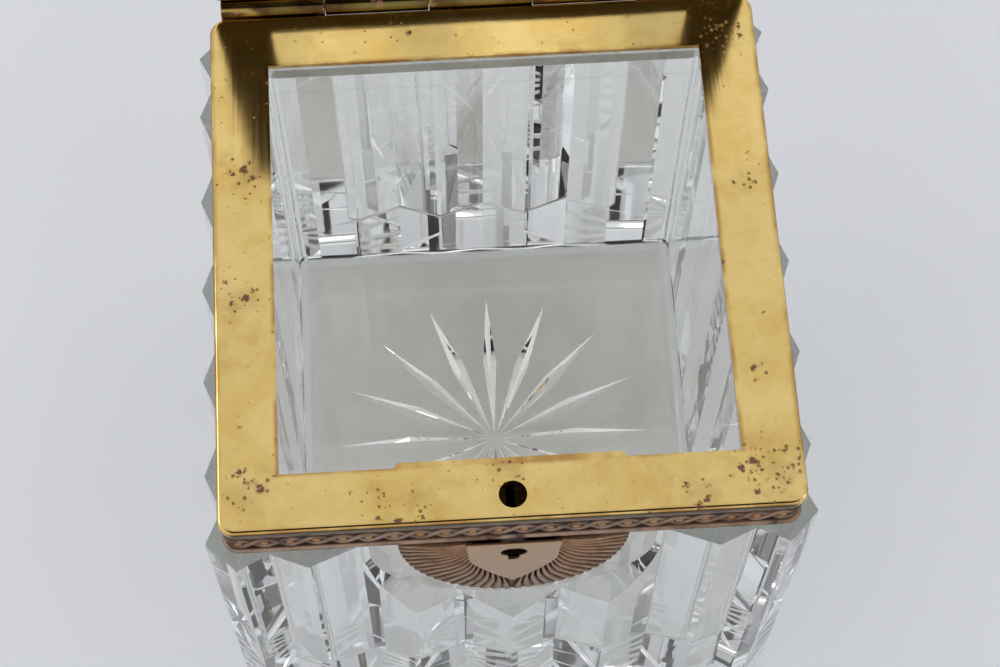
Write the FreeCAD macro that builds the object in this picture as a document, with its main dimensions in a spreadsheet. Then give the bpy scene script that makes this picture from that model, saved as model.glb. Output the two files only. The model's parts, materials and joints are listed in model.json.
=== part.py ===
import FreeCAD, Part
import os
import re

import Sketcher

# Lockable cut-crystal casket with brass mounts.
# The origin is the middle of the face it rests on, +Z is up, the lock faces -Y and the hinge is at +Y.
# Every part is drawn in place. The lid's parts are drawn as if the lid were closed, and their Placement
# then swings them open about the hinge pin to the angle where the lid rests.

SIZES = [
    # alias, millimetres or degrees, what it measures
    ("rib_reach", 63.6, "middle of the casket to the ridge of a rib"),
    ("rib_pitch", 21.25, "ridge to ridge"),
    ("flute_depth", 4.1, "ridge to the bottom of a flute"),
    ("end_flute_x", 50.4, "middle to the bottom of the outermost flute of a side"),
    ("end_flute_depth", 3.3, "depth of the outermost flutes"),
    ("corner_cut", 6.3, "leg of the flat cut on each upright corner"),
    ("base_thick", 16, "glass under the floor"),
    ("shoulder_level", 105.6, "top of the ribs, where the mount sits"),
    ("neck_level", 115.6, "top of the glass neck inside the mount"),
    ("neck_reach", 57.2, "middle to the outside of the neck"),
    ("neck_corner", 3, "corner radius of the neck"),
    ("well_reach", 47.6, "middle to the inner wall of the well"),
    ("well_corner", 2, "upright corner radius of the well"),
    ("floor_fillet", 3.5, "radius between wall and floor"),
    ("star_start", 1.5, "middle to the inner point of a star ray"),
    ("star_middle", 21, "middle to the widest place of a ray"),
    ("star_end", 39, "middle to the outer point of a ray"),
    ("star_half_width", 1.7, "half the width of a ray"),
    ("star_depth", 1.7, "depth of a ray"),
    ("star_rays", 16, "rays in the star cut under the base"),
    ("recess_face", 59, "middle to the flat ground for the apron"),
    ("recess_radius", 30, "round foot of that ground flat, and half its width"),
    ("recess_centre", 97.7, "level of the centre of the round foot"),
    ("recess_flare", 53, "slope of the run-out round the ground flat"),
    ("notch_reach", 20.2, "half the width of the slot for the lock"),
    ("notch_level", 89.5, "foot of the slot for the lock"),
    ("rim_level", 118, "top of the rim plate"),
    ("rim_reach", 60, "middle to the outer edge of the rim plate"),
    ("rim_corner", 3.6, "corner radius of the rim plate"),
    ("rim_thick", 1.2, "sheet thickness of the rim plate"),
    ("rim_round", 0.9, "rounding of the plate's outer edge"),
    ("lip_width", 1.4, "width of the turned-down lip"),
    ("lip_drop", 0.8, "how far the lip reaches below the sheet"),
    ("mouth_x", 47.3, "middle to the inner edge of the rim, across"),
    ("mouth_y", 47.5, "middle to the inner edge of the rim, front to back"),
    ("band_inside", 58.2, "middle to the inner face of the band"),
    ("band_face", 59.1, "middle to the sunk face of the band"),
    ("band_foot", 105.8, "bottom of the band"),
    ("band_top", 115.95, "top of the band"),
    ("roll_reach", 60, "middle to the outside of the foot roll"),
    ("roll_height", 1.3, "height of the foot roll"),
    ("bead_reach", 59.65, "middle to the outside of the upper bead"),
    ("bead_foot", 114.1, "bottom of the upper bead"),
    ("bead_height", 0.8, "height of the upper bead"),
    ("cement_gap", 0.05, "joint left between the cement and its neighbours"),
    ("rivet_room", 0.3, "room left round the catch's rivet head in the lid's cement"),
    ("cement_lap", 48.5, "middle to the inner edge of the cement"),
    ("catch_y", -54.4, "front to back place of the catch"),
    ("catch_hole", 2.9, "radius of the catch's hole in the rim plate"),
    ("case_reach", 19.5, "half the width of the lock case"),
    ("case_foot", 90, "bottom of the lock case"),
    ("case_back", -46.4, "face of the lock case that shows inside the well"),
    ("case_front", -57.3, "open side of the lock case"),
    ("case_wall", 1.1, "sheet thickness of the lock case"),
    ("case_catch_hole", 3.15, "radius of the catch's hole in the case"),
    ("selvedge_reach", 23.65, "half the length of the strip on the lock's top edge"),
    ("selvedge_end", 0.8, "rounding of that strip's ends"),
    ("cap_thick", 0.8, "thickness of the cap plate"),
    ("key_level", 100.4, "level of the middle of the keyhole"),
    ("key_hole", 2.85, "radius of the keyhole"),
    ("key_slot", 1.25, "half the width of the keyhole's slot"),
    ("key_slot_foot", 95.9, "bottom of the keyhole's slot"),
    ("key_clearance", 0.45, "extra room round the keyhole in the apron and the cap"),
    ("post_x", 15.8, "middle to the posts that hold the cap plate"),
    ("post_low", 93.8, "level of the two lower posts"),
    ("post_high", 112.3, "level of the upper post"),
    ("post_radius", 1.8, "radius of a post"),
    ("screw_radius", 0.75, "radius of a cap screw's shank"),
    ("screw_length", 5.5, "length of a cap screw from the face of its head"),
    ("screw_head", 1.45, "radius of a cap screw's head"),
    ("screw_head_thick", 0.45, "thickness of a cap screw's head"),
    ("screw_slot", 0.3, "width and depth of the screw slot"),
    ("drill_pin_radius", 0.95, "radius of the pin that a pipe key turns on"),
    ("drill_pin_front", -58.8, "front end of that pin"),
    ("guide_radius", 1, "radius of the bolt's guide pins"),
    ("guide_level", 105.3, "level of the guide pins"),
    ("guide_left", -6.4, "place of the left guide pin"),
    ("guide_right", 7.6, "place of the right guide pin"),
    ("guide_front", -56.9, "front end of the guide pins"),
    ("slot_play", 0.06, "play of the bolt's slots on the guide pins"),
    ("bolt_throw", 5.2, "travel of the bolt"),
    ("bolt_thick", 2, "thickness of the bolt"),
    ("bolt_left", -17.2, "left end of the bolt"),
    ("bolt_right", 10.6, "right end of the bolt"),
    ("bolt_foot", 102.8, "lower edge of the bolt"),
    ("bolt_top", 107, "upper edge of the bolt's bar"),
    ("talon_x", -2.6, "middle of the notch that the key pushes"),
    ("talon_radius", 1.7, "radius of that notch"),
    ("talon_drop", 0.4, "how far the notch's centre lies below the bolt's lower edge"),
    ("riser_right", -12.4, "right side of the upright at the bolt's left end"),
    ("nose_level", 110, "middle of the bolt's nose"),
    ("nose_half", 1, "half the height of the nose"),
    ("nose_tip", -2.75, "end of the nose"),
    ("spring_thick", 0.3, "thickness of the bolt's leaf spring"),
    ("spring_width", 3, "width of the leaf spring"),
    ("spring_bend", 11.5, "middle to the place where the spring leaves the case's top wall"),
    ("spring_tip", 4.4, "middle to the free end of the spring"),
    ("spring_skew", 0.2, "shift along X between the two sides of the slanted leaf"),
    ("spring_gap", 0.05, "gap between the spring's end and the bolt"),
    ("apron_top", 105.7, "top of the apron, against the band"),
    ("apron_reach", 24, "half the width of the apron"),
    ("apron_drop", 34.6, "height of the apron"),
    ("apron_face", -60.4, "front face of the apron"),
    ("shield_top", 105.3, "top of the escutcheon"),
    ("shield_reach", 10, "half the width of the escutcheon"),
    ("shield_square", 9, "height of the straight part of the escutcheon"),
    ("shield_point", 15, "height of the pointed part of the escutcheon"),
    ("shield_thick", 0.8, "thickness of the escutcheon"),
    ("knuckle_radius", 2.25, "outside of a hinge knuckle"),
    ("knuckle_length", 22.96, "pitch of the knuckles"),
    ("knuckle_gap", 0.12, "gap between two knuckles"),
    ("hinge_y", 62.3, "front to back place of the hinge pin"),
    ("hinge_level", 118.05, "level of the hinge pin"),
    ("pin_radius", 0.8, "radius of the hinge pin"),
    ("pin_play", 0.05, "radial play of the lid's knuckles on the pin"),
    ("leaf_thick", 0.8, "thickness of a hinge leaf"),
    ("leaf_near", 0.5, "hinge pin's level to the near edge of a leaf"),
    ("leaf_far", 9.5, "hinge pin's level to the far edge of a leaf"),
    ("leaf_room", 0.15, "room that a leaf leaves round the other leaf's knuckles"),
    ("parting_gap", 0.1, "gap between the two rim plates when the lid is closed"),
    ("lid_rib_height", 6.5, "height of the ribs on the lid"),
    ("lid_bevel", 6.5, "rise of the bevel round the lid's table"),
    ("lid_table", 52, "middle to the edge of the lid's table"),
    ("lid_open_angle", 99, "how far the lid is open when it rests on its stop"),
    ("catch_radius", 2.4, "radius of the catch's shank"),
    ("catch_foot", 107.4, "lower end of the catch"),
    ("catch_eye", 1.5, "radius of the hole that the bolt passes through"),
    ("catch_head", 3.6, "radius of the catch's riveted head"),
    ("catch_head_thick", 0.9, "thickness of the catch's riveted head"),
]

ALIASES = {alias for alias, size, note in SIZES}
RIBS_EACH_WAY = range(-2, 3)

doc = FreeCAD.newDocument("casket")
sheet = doc.addObject("Spreadsheet::Sheet", "dims")
for row, (alias, size, note) in enumerate(SIZES, start=1):
    sheet.set("A%d" % row, note)
    sheet.set("B%d" % row, str(size))
    sheet.setAlias("B%d" % row, alias)
doc.recompute()


# ---------------------------------------------------------------- sheet and expressions

def linked(text):
    """Write a formula with plain names as one that reads those names from the sheet."""
    def with_sheet(match):
        word = match.group()
        return "dims." + word if word in ALIASES else word
    return re.sub(r"[a-z]\w*", with_sheet, text)


def value(text):
    """Work out a formula now, for a first guess or for picking edges."""
    return float(sheet.evalExpression(linked(text)))


def bind(obj, formulas):
    """Bind properties of an object to formulas of the sheet."""
    for path, text in formulas.items():
        obj.setExpression(path, linked(text))


def place(obj, corner):
    bind(obj, {"Placement.Base." + axis: text for axis, text in zip("xyz", corner)})


# ---------------------------------------------------------------- Part primitives

TURN = {
    "x": FreeCAD.Rotation(FreeCAD.Vector(0, 1, 0), 90),
    "y": FreeCAD.Rotation(FreeCAD.Vector(1, 0, 0), -90),
    "z": FreeCAD.Rotation(),
}


def block(name, low, high):
    """A box from its low corner to its high corner."""
    obj = doc.addObject("Part::Box", name)
    for side, start, stop in zip(("Length", "Width", "Height"), low, high):
        bind(obj, {side: "(%s) - (%s)" % (stop, start)})
    place(obj, low)
    return obj


def rod(name, radius, length, start, axis):
    """A cylinder that runs from a start point along +X, +Y or +Z."""
    obj = doc.addObject("Part::Cylinder", name)
    bind(obj, {"Radius": radius, "Height": length})
    obj.Placement = FreeCAD.Placement(FreeCAD.Vector(), TURN[axis])
    place(obj, start)
    return obj


def cut(name, base, *tools):
    """The base without the tools."""
    obj = doc.addObject("Part::Cut", name)
    obj.Base = base
    obj.Tool = tools[0] if len(tools) == 1 else fuse(name + "_tools", *tools)
    return obj


def fuse(name, *shapes):
    obj = doc.addObject("Part::MultiFuse", name)
    obj.Shapes = list(shapes)
    return obj


def common(name, *shapes):
    obj = doc.addObject("Part::MultiCommon", name)
    obj.Shapes = list(shapes)
    return obj


def group(name, *solids):
    """Separate solids that share one node."""
    obj = doc.addObject("Part::Compound", name)
    obj.Links = list(solids)
    return obj


# ---------------------------------------------------------------- PartDesign helpers

def new_sketch(body, name, role, offset):
    """A sketch on one of the body's own origin planes, moved along the plane's normal."""
    obj = body.newObject("Sketcher::SketchObject", name)
    plane = [item for item in body.Origin.OriginFeatures if item.Role == role][0]
    obj.AttachmentSupport = [(plane, "")]
    obj.MapMode = "FlatFace"
    bind(obj, {"AttachmentOffset.Base.z": offset})
    return obj


def add_polygon(sketch, points):
    """Draw a closed outline whose every corner is bound to a pair of formulas."""
    first = sketch.GeometryCount
    corners = [FreeCAD.Vector(value(x), value(y), 0) for x, y in points]
    count = len(corners)
    sides = [Part.LineSegment(corners[i], corners[(i + 1) % count]) for i in range(count)]
    sketch.addGeometry(sides, False)
    for i, (x, y) in enumerate(points):
        before = first + (i - 1) % count
        sketch.addConstraint(Sketcher.Constraint("Coincident", before, 2, first + i, 1))
        for kind, text in (("DistanceX", x), ("DistanceY", y)):
            number = sketch.addConstraint(Sketcher.Constraint(kind, first + i, 1, value(text)))
            sketch.setExpression("Constraints[%d]" % number, linked(text))


def hold(sketch, held):
    """Hold points or a radius of a sketch at formulas; zero is held as it is."""
    for kind, members, text in held:
        number = sketch.addConstraint(Sketcher.Constraint(kind, *members, value(text)))
        if text != "0":
            sketch.setExpression("Constraints[%d]" % number, linked(text))


def rectangle(half_x, half_y):
    return [("-(%s)" % half_x, "-(%s)" % half_y), (half_x, "-(%s)" % half_y),
            (half_x, half_y), ("-(%s)" % half_x, half_y)]


def add_feature(body, kind, name, profile, length):
    obj = body.newObject("PartDesign::" + kind, name)
    obj.Profile = profile
    bind(obj, {"Length": length})
    profile.Visibility = False
    return obj


def prism(body, kind, name, outlines, level, length, role="XY_Plane"):
    """Pad or pocket one sketch made of closed outlines."""
    sketch = new_sketch(body, name + "_sketch", role, level)
    for outline in outlines:
        add_polygon(sketch, outline)
    return add_feature(body, kind, name, sketch, length)


def round_edges(body, name, radius, wanted):
    """Fillet the edges of the body's newest feature that pass a test."""
    doc.recompute()
    last = body.Tip
    names = ["Edge%d" % number for number, edge in enumerate(last.Shape.Edges, start=1)
             if wanted(edge)]
    obj = body.newObject("PartDesign::Fillet", name)
    obj.Base = (last, names)
    bind(obj, {"Radius": radius})
    return obj


def new_body(name):
    return doc.addObject("PartDesign::Body", name)


def span(edge):
    """Length of an edge along X, Y and Z."""
    box = edge.BoundBox
    return box.XLength, box.YLength, box.ZLength


def near(first, second):
    return abs(first - second) < 1e-3


def upright_at(half_x, half_y):
    """Test for the four upright edges at the corners of a rectangle."""
    def wanted(edge):
        box = edge.BoundBox
        return (span(edge)[2] > 1e-3 and max(span(edge)[:2]) < 1e-3
                and near(abs(box.Center.x), value(half_x)) and near(abs(box.Center.y), value(half_y)))
    return wanted


def rim_of(reach, level):
    """Test for the level edges round the outside of a square ring."""
    def wanted(edge):
        box = edge.BoundBox
        return (span(edge)[2] < 1e-3 and near(box.Center.z, value(level))
                and max(abs(box.XMin), abs(box.XMax), abs(box.YMin), abs(box.YMax)) > value(reach) - 1e-3)
    return wanted


# ---------------------------------------------------------------- cut glass

def quarter_turn(point):
    x, y = point
    return "-(%s)" % y, x


def ribbed_outline():
    """Plan of the ribbed glass: five ridges a side, a shallower flute at each end and four cut corners."""
    corner = ("rib_reach - corner_cut", "-rib_reach")
    end_flute = ("end_flute_x", "end_flute_depth - rib_reach")
    side = [("-(%s)" % corner[0], corner[1]), ("-" + end_flute[0], end_flute[1])]
    for rib in RIBS_EACH_WAY:
        side.append(("%d * rib_pitch" % rib, "-rib_reach"))
        if rib < RIBS_EACH_WAY[-1]:
            side.append(("%g * rib_pitch" % (rib + 0.5), "flute_depth - rib_reach"))
    side += [end_flute, corner]
    outline = []
    for turn in range(4):
        outline += side
        side = [quarter_turn(point) for point in side]
    return outline


def make_glass_body():
    body = new_body("glass_body")
    prism(body, "Pad", "ribbed_block", [ribbed_outline()], "0", "shoulder_level")
    prism(body, "Pad", "neck", [rectangle("neck_reach", "neck_reach")], "shoulder_level",
          "neck_level - shoulder_level")
    round_edges(body, "neck_corners", "neck_corner", upright_at("neck_reach", "neck_reach"))
    prism(body, "Pocket", "well", [rectangle("well_reach", "well_reach")], "neck_level",
          "neck_level - base_thick")
    round_edges(body, "well_corners", "well_corner", upright_at("well_reach", "well_reach"))
    round_edges(body, "floor_edge", "floor_fillet",
                lambda edge: span(edge)[2] < 1e-3 and near(edge.BoundBox.Center.z, value("base_thick")))

    notch = [("-notch_reach", "-rib_reach - 1"), ("notch_reach", "-rib_reach - 1"),
             ("notch_reach", "-well_reach + 1"), ("-notch_reach", "-well_reach + 1")]
    prism(body, "Pocket", "lock_notch", [notch], "neck_level", "neck_level - notch_level")

    recess_sketch = new_sketch(body, "recess_sketch", "XZ_Plane", "recess_face")
    add_ground_flat(recess_sketch)
    recess = add_feature(body, "Pocket", "apron_recess", recess_sketch, "rib_reach - recess_face + 2")
    recess.Reversed = True
    bind(recess, {"TaperAngle": "recess_flare"})

    ray = new_sketch(body, "ray_sketch", "XY_Plane", "0")
    add_polygon(ray, [("star_start", "0"), ("star_middle", "-star_half_width"),
                      ("star_end", "0"), ("star_middle", "star_half_width")])
    tip = new_sketch(body, "ray_tip_sketch", "XY_Plane", "star_depth")
    tip.addGeometry(Part.Point(FreeCAD.Vector(value("star_middle"), 0, 0)), False)
    hold(tip, [("DistanceX", (0, 1), "star_middle"), ("DistanceY", (0, 1), "0")])
    star_ray = body.newObject("PartDesign::SubtractiveLoft", "star_ray")
    star_ray.Profile = ray
    star_ray.Sections = [tip]
    star_ray.Ruled = True
    star = body.newObject("PartDesign::PolarPattern", "star")
    star.Originals = [star_ray]
    star.Axis = ([item for item in body.Origin.OriginFeatures if item.Role == "Z_Axis"][0], [""])
    star.Angle = 360
    bind(star, {"Occurrences": "star_rays"})
    body.Tip = star
    return body


def add_ground_flat(sketch):
    """U-shaped flat: straight sides, a half round foot and a top that runs out above the shoulder."""
    radius, centre, top = value("recess_radius"), value("recess_centre"), value("shoulder_level + 2")
    left_top, right_top = FreeCAD.Vector(-radius, top, 0), FreeCAD.Vector(radius, top, 0)
    left, right = FreeCAD.Vector(-radius, centre, 0), FreeCAD.Vector(radius, centre, 0)
    foot = FreeCAD.Vector(0, centre - radius, 0)
    sketch.addGeometry([Part.LineSegment(right_top, left_top), Part.LineSegment(left_top, left),
                        Part.Arc(left, foot, right), Part.LineSegment(right, right_top)], False)
    constraints = [
        ("Coincident", (0, 2, 1, 1)), ("Coincident", (1, 2, 2, 1)), ("Coincident", (2, 2, 3, 1)),
        ("Coincident", (3, 2, 0, 1)), ("Horizontal", (0,)), ("Vertical", (1,)), ("Vertical", (3,)),
    ]
    for kind, members in constraints:
        sketch.addConstraint(Sketcher.Constraint(kind, *members))
    hold(sketch, [
        ("DistanceX", (2, 3), "0"), ("DistanceY", (2, 3), "recess_centre"),
        ("DistanceX", (1, 2), "-recess_radius"), ("DistanceY", (1, 2), "recess_centre"),
        ("DistanceY", (3, 1), "recess_centre"), ("DistanceY", (0, 1), "shoulder_level + 2"),
    ])


def make_lid_glass():
    """Slab with the body's ribbed plan, a neck in the lid's mount and a bevel up to a flat table."""
    body = new_body("lid_glass")
    shoulder = "2 * rim_level + parting_gap - shoulder_level"
    neck = "2 * rim_level + parting_gap - neck_level"
    prism(body, "Pad", "lid_ribbed_block", [ribbed_outline()], shoulder, "lid_rib_height + lid_bevel")
    prism(body, "Pad", "lid_neck", [rectangle("neck_reach", "neck_reach")], neck,
          "neck_level - shoulder_level")
    round_edges(body, "lid_neck_corners", "neck_corner", upright_at("neck_reach", "neck_reach"))

    outer, low = "rib_reach + 1", shoulder + " + lid_rib_height - lid_bevel / (rib_reach - lid_table)"
    wedge = doc.addObject("Part::Wedge", "bevel_block")
    bind(wedge, {"Xmin": "-(%s)" % outer, "Xmax": outer, "Zmin": "-(%s)" % outer, "Zmax": outer,
                 "X2min": "-lid_table", "X2max": "lid_table", "Z2min": "-lid_table", "Z2max": "lid_table",
                 "Ymin": "0", "Ymax": "lid_bevel * (1 + 1 / (rib_reach - lid_table))"})
    wedge.Placement = FreeCAD.Placement(FreeCAD.Vector(), FreeCAD.Rotation(FreeCAD.Vector(1, 0, 0), 90))
    place(wedge, ("0", "0", low))
    foot = block("bevel_foot", ("-(%s)" % outer,) * 2 + (neck,), (outer,) * 2 + (low,))
    return common("lid_glass_cut", body, fuse("bevel_envelope", wedge, foot))


# ---------------------------------------------------------------- brass mounts

def mirror_level(text):
    """The same level on the lid: the lid's mount is the body's mount turned upside down."""
    return "2 * rim_level + parting_gap - (%s)" % text


def square_ring(body, name, outer, inner, low, high):
    """A square ring between two levels, in either mount."""
    inner_x, inner_y = inner if isinstance(inner, tuple) else (inner, inner)
    return prism(body, "Pad", name, [rectangle(outer, outer), rectangle(inner_x, inner_y)],
                 low, "(%s) - (%s)" % (high, low))


def make_rim_plate(name, level, hole_radius):
    """Flat brass rim with a lip along its outer edge and the catch's hole.

    level gives the real level of a feature from its level on the body's mount.
    """
    body = new_body(name)
    sheet_low, sheet_high = sorted((level("rim_level - rim_thick"), level("rim_level")), key=value)
    lip = (level("rim_level - rim_thick - lip_drop"), level("rim_level - rim_thick"))
    lip_low, lip_high = sorted(lip, key=value)
    square_ring(body, name + "_sheet", "rim_reach", ("mouth_x", "mouth_y"), sheet_low, sheet_high)
    square_ring(body, name + "_lip", "rim_reach", "rim_reach - lip_width", lip_low, lip_high)
    round_edges(body, name + "_corners", "rim_corner", upright_at("rim_reach", "rim_reach"))
    round_edges(body, name + "_lip_corners", "rim_corner - lip_width",
                upright_at("rim_reach - lip_width", "rim_reach - lip_width"))
    round_edges(body, name + "_edge", "rim_round", rim_of("rim_reach - rim_corner", level("rim_level")))
    hole = new_sketch(body, name + "_hole_sketch", "XY_Plane", sheet_high)
    middle = FreeCAD.Vector(0, value("catch_y"), 0)
    hole.addGeometry(Part.Circle(middle, FreeCAD.Vector(0, 0, 1), value(hole_radius)))
    hold(hole, [("Radius", (0,), hole_radius), ("DistanceY", (0, 3), "catch_y"),
                ("DistanceX", (0, 3), "0")])
    add_feature(body, "Pocket", name + "_hole", hole, "rim_thick")
    return body


def make_band(name, level):
    """Band round the mount: a sunk strip between a bead and a foot roll."""
    body = new_body(name)
    for part, outer, first, second in (
            ("strip", "band_face", "band_foot", "band_top"),
            ("roll", "roll_reach", "band_foot", "band_foot + roll_height"),
            ("bead", "bead_reach", "bead_foot", "bead_foot + bead_height")):
        low, high = sorted((level(first), level(second)), key=value)
        square_ring(body, name + "_" + part, outer, "band_inside", low, high)
        round_edges(body, name + "_" + part + "_corners", "rim_corner - rim_reach + " + outer,
                    upright_at(outer, outer))
    round_edges(body, name + "_inner_corners", "rim_corner - rim_reach + band_inside",
                upright_at("band_inside", "band_inside"))
    return body


# What interrupts each cement bed: its outline and its depth.
LOCK_ROOM = ([("-notch_reach", "-rib_reach"), ("notch_reach", "-rib_reach"),
              ("notch_reach", "-cement_lap + 1"), ("-notch_reach", "-cement_lap + 1")],
             "rim_level - rim_thick - band_foot")
RIVET_HALF = "(catch_head + rivet_room)"
RIVET_ROOM = ([("-" + RIVET_HALF, "catch_y - " + RIVET_HALF), (RIVET_HALF, "catch_y - " + RIVET_HALF),
               (RIVET_HALF, "catch_y + " + RIVET_HALF), ("-" + RIVET_HALF, "catch_y + " + RIVET_HALF)],
              "rim_level - rim_thick - neck_level - 2 * cement_gap")


def make_cement(name, level, room, highest):
    """Bed that fills the mount round the glass neck and over it.

    The room is cut downwards from the level highest.
    """
    body = new_body(name)
    top = "rim_level - rim_thick - cement_gap"
    outer = "band_inside - cement_gap"
    for part, inner, first, second in (
            ("wall", "neck_reach + cement_gap", "band_foot", top),
            ("cover", "cement_lap", "neck_level + cement_gap", top)):
        low, high = sorted((level(first), level(second)), key=value)
        square_ring(body, name + "_" + part, outer, inner, low, high)
    round_edges(body, name + "_corners", "rim_corner - rim_reach + " + outer, upright_at(outer, outer))
    outline, depth = room
    prism(body, "Pocket", name + "_room", [outline], highest, depth)
    return body


# ---------------------------------------------------------------- front: apron and escutcheon

def keyhole(name, extra, back, front):
    """Tool in the shape of a keyhole, from a back plane to a front plane."""
    depth = "(%s) - (%s)" % (back, front)
    disc = rod(name + "_round", "key_hole + " + extra, depth, ("0", front, "key_level"), "y")
    slot = block(name + "_slot", ("-key_slot - " + extra, front, "key_slot_foot - " + extra),
                 ("key_slot + " + extra, back, "key_level"))
    return fuse(name, disc, slot)


def make_apron():
    """Half oval plate that covers the lock's slot in the glass."""
    oval = doc.addObject("Part::Ellipse", "apron_oval")
    bind(oval, {"MajorRadius": "apron_drop", "MinorRadius": "apron_reach"})
    upright = FreeCAD.Rotation(FreeCAD.Vector(1, 0, 0), 90) * FreeCAD.Rotation(FreeCAD.Vector(0, 0, 1), 90)
    oval.Placement = FreeCAD.Placement(FreeCAD.Vector(), upright)
    place(oval, ("0", "-recess_face", "apron_top"))
    slab = doc.addObject("Part::Extrusion", "apron_slab")
    slab.Base = oval
    slab.DirMode = "Custom"
    slab.Dir = FreeCAD.Vector(0, -1, 0)
    slab.Solid = True
    bind(slab, {"LengthFwd": "-recess_face - apron_face"})
    below = block("apron_half", ("-apron_reach - 1", "apron_face - 1", "apron_top - apron_drop - 1"),
                  ("apron_reach + 1", "-recess_face + 1", "apron_top"))
    return cut("front_apron", common("apron_plate", slab, below),
               keyhole("apron_keyhole", "key_clearance", "-recess_face + 1", "apron_face - 1"))


def make_shield():
    """Heater shield: a straight upper part, and a point between two arcs."""
    face = "apron_face - shield_thick"
    waist = "shield_top - shield_square"
    radius = "(shield_reach ^ 2 + shield_point ^ 2) / (2 * shield_reach)"
    upper = block("shield_upper", ("-shield_reach", face, waist),
                  ("shield_reach", "apron_face", "shield_top"))
    lower = block("shield_lower", ("-shield_reach", face, waist + " - shield_point"),
                  ("shield_reach", "apron_face", waist))
    arcs = []
    for side, sign in (("left", ""), ("right", "-")):
        centre = (sign + "(%s - shield_reach)" % radius, face, waist)
        arcs.append(rod("shield_arc_" + side, radius, "shield_thick", centre, "y"))
    point = common("shield_pointed", lower, *arcs)
    return cut("shield_escutcheon", fuse("shield_plate", upper, point),
               keyhole("shield_keyhole", "0", "apron_face + 1", face + " - 1"))


# ---------------------------------------------------------------- lock

def make_lock_case():
    top = "rim_level - rim_thick"
    shell = block("case_shell", ("-case_reach", "case_front", "case_foot"),
                  ("case_reach", "case_back", top))
    hollow = block("case_hollow", ("-case_reach + case_wall", "case_front - 1", "case_foot + case_wall"),
                   ("case_reach - case_wall", "case_back - case_wall", top + " - case_wall"))
    hole = rod("case_catch_hole_tool", "case_catch_hole", "2 * case_wall",
               ("0", "catch_y", top + " - 1.5 * case_wall"), "z")
    return cut("lock_case", shell, hollow, hole)


def post_places():
    return (("left", "-post_x", "post_low"), ("right", "post_x", "post_low"),
            ("upper", "post_x", "post_high"))


def make_cap_posts():
    """Posts on the case's back wall, each drilled for a cap screw."""
    posts = []
    for name, x, z in post_places():
        post = rod("post_" + name, "post_radius", "case_back - case_wall - case_front",
                   (x, "case_front", z), "y")
        hole = rod("post_hole_" + name, "screw_radius", "screw_length - cap_thick",
                   (x, "case_front", z), "y")
        posts.append(cut("drilled_post_" + name, post, hole))
    return group("lock_cap_posts", *posts)


def make_lock_cap():
    plate = block("cap_sheet", ("-case_reach", "case_front - cap_thick", "case_foot"),
                  ("case_reach", "case_front", "rim_level - rim_thick"))
    tools = [keyhole("cap_keyhole", "key_clearance", "case_front + 1", "case_front - cap_thick - 1")]
    for name, x, z in post_places():
        tools.append(rod("cap_hole_" + name, "screw_radius", "3 * cap_thick",
                         (x, "case_front - 2 * cap_thick", z), "y"))
        tools.append(rod("cap_sink_" + name, "screw_head", "screw_head_thick",
                         (x, "case_front - cap_thick", z), "y"))
    return cut("lock_cap", plate, *tools)


def make_cap_screws():
    """Screws whose heads lie flush in the cap plate."""
    face = "case_front - cap_thick"
    screws = []
    for name, x, z in post_places():
        shank = rod("shank_" + name, "screw_radius", "screw_length", (x, face, z), "y")
        head = rod("head_" + name, "screw_head", "screw_head_thick", (x, face, z), "y")
        slot = block("screw_slot_" + name, (x + " - screw_head", face, z + " - screw_slot / 2"),
                     (x + " + screw_head", face + " + screw_slot", z + " + screw_slot / 2"))
        screws.append(cut("screw_" + name, fuse("screw_blank_" + name, shank, head), slot))
    return group("lock_cap_screws", *screws)


def make_selvedge():
    """Strip on the top edge of the lock case, flush with the rim plate, with rounded ends."""
    body = new_body("lock_selvedge")
    strip = [("-selvedge_reach", "-mouth_y"), ("selvedge_reach", "-mouth_y"),
             ("selvedge_reach", "case_back"), ("-selvedge_reach", "case_back")]
    prism(body, "Pad", "selvedge_strip", [strip], "rim_level - rim_thick", "rim_thick")
    round_edges(body, "selvedge_ends", "selvedge_end", upright_at("selvedge_reach", "-case_back"))
    return body


def make_drill_pin():
    return rod("lock_drill_pin", "drill_pin_radius", "case_back - case_wall - drill_pin_front",
               ("0", "drill_pin_front", "key_level"), "y")


def make_guide_pins():
    pins = [rod("guide_pin_" + side, "guide_radius", "case_back - case_wall - guide_front",
                ("guide_" + side, "guide_front", "guide_level"), "y") for side in ("left", "right")]
    return group("lock_guide_pins", *pins)


def make_bolt():
    """Bar on two guide pins, with an upright and a nose that passes through the catch's eye."""
    back, front = "catch_y + bolt_thick / 2", "catch_y - bolt_thick / 2"
    bar = block("bolt_bar", ("bolt_left", front, "bolt_foot"), ("bolt_right", back, "bolt_top"))
    riser = block("bolt_riser", ("bolt_left", front, "bolt_foot"),
                  ("riser_right", back, "nose_level + nose_half"))
    nose = block("bolt_nose", ("riser_right - 1", front, "nose_level - nose_half"),
                 ("nose_tip", back, "nose_level + nose_half"))
    before = front + " - 1"
    tools = [rod("talon", "talon_radius", "2 * bolt_thick",
                 ("talon_x", before, "bolt_foot - talon_drop"), "y")]
    for side in ("left", "right"):
        near_end, far_end = "guide_" + side, "guide_%s - bolt_throw" % side
        tools.append(block("bolt_slot_" + side,
                           (far_end, before, "guide_level - guide_radius - slot_play"),
                           (near_end, back + " + 1", "guide_level + guide_radius + slot_play")))
        for end, x in (("near", near_end), ("far", far_end)):
            tools.append(rod("bolt_slot_%s_%s" % (side, end), "guide_radius + slot_play", "2 * bolt_thick",
                             (x, before, "guide_level"), "y"))
    return cut("lock_bolt", fuse("bolt_blank", bar, riser, nose), *tools)


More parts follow.
